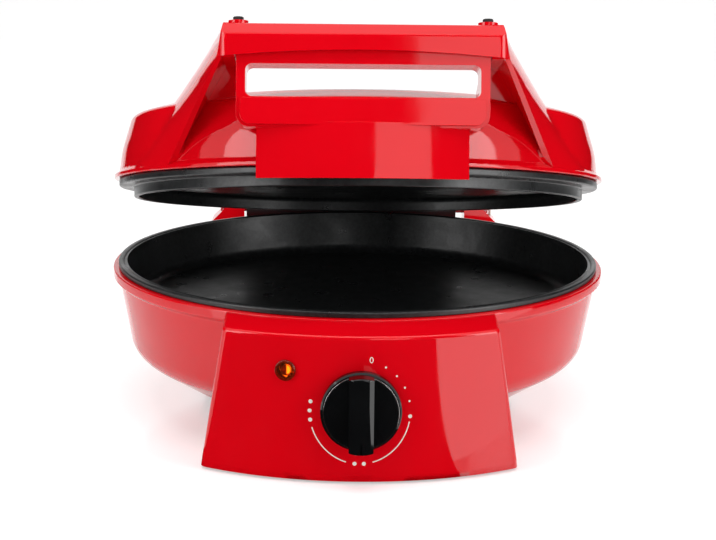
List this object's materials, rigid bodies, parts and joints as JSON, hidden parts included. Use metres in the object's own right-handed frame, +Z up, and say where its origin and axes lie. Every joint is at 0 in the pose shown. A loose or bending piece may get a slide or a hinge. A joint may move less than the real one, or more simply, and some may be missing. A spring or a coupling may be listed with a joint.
{
  "type": "electric pizza maker",
  "caption": "Round electric pizza maker: a shallow heated pan in a glossy bowl with a front control panel, and a hinged domed lid with a raised handle bar.",
  "frame": {"origin": "centre of the footprint's bounding box, on the surface that the feet stand on", "axes": "+X to the right as seen from the front, +Y from the knob towards the hinge, +Z up; the lid is stored open by 13.6 degrees"},
  "size_m": [0.3312, 0.4102, 0.2702],
  "materials": {
    "red_plastic": "glossy",
    "black_plastic": "satin",
    "knob_black": "satin",
    "bright_trim": "polished",
    "nonstick": "non-stick coating",
    "steel": "bright",
    "element_steel": "oxidised",
    "reflector_sheet": "bright sheet",
    "pin_steel": "ground",
    "rubber_black": "matte",
    "lamp_lens": "clear amber",
    "lamp_glass": "clear",
    "block_white": "glazed",
    "brass_screw": "turned",
    "lead_fabric": "braided sleeve",
    "fuse_case": "lacquered"
  },
  "bodies": {
    "base": {"lower_pan": "nonstick", "lower_heating_element": "element_steel", "lower_element_clamps": "steel", "lower_clamp_screws": "steel", "lower_reflector": "reflector_sheet", "base_housing": "red_plastic", "pan_screws": "steel", "control_panel": "red_plastic", "control_panel_screws": "steel", "bottom_cover": "black_plastic", "bottom_cover_screws": "steel", "hinge_housing": "red_plastic", "hinge_housing_screws": "steel", "hinge_pins": "pin_steel", "front_feet": "rubber_black", "rear_feet": "rubber_black", "cord_gland": "black_plastic", "thermostat_body": "block_white", "thermostat_screws": "steel", "indicator_lens": "lamp_lens", "neon_lamp": "lamp_glass", "terminal_block": "block_white", "terminal_screws": "brass_screw", "thermal_fuse": "fuse_case", "base_leads": "lead_fabric", "lamp_leads": "lead_fabric", "hinge_lead": "lead_fabric"},
    "lid": {"upper_plate": "nonstick", "upper_heating_element": "element_steel", "upper_element_clamps": "steel", "upper_clamp_screws": "steel", "upper_reflector": "reflector_sheet", "upper_reflector_screws": "steel", "lid_cover": "red_plastic", "lid_plate_screws": "steel", "lid_foot_caps": "rubber_black", "handle_frame": "red_plastic", "handle_screws": "steel", "lid_hinge_block": "black_plastic", "hinge_block_screws": "steel", "lid_connector": "block_white", "lid_leads": "lead_fabric"},
    "control_knob": {"knob": "knob_black", "knob_ring": "bright_trim", "control_shaft": "pin_steel"}
  },
  "joints": [
    {"name": "lid_hinge", "type": "hinge", "parent": "base", "child": "lid", "pos_m": [0, 0.18505, 0.09665], "axis": [-1, 0, 0], "range_deg": [-13.6, 166.4]},
    {"name": "knob_turn", "type": "hinge", "parent": "base", "child": "control_knob", "pos_m": [0, -0.19695, 0.0465], "axis": [0, 1, 0], "range_deg": [-169, 96]}
  ]
}
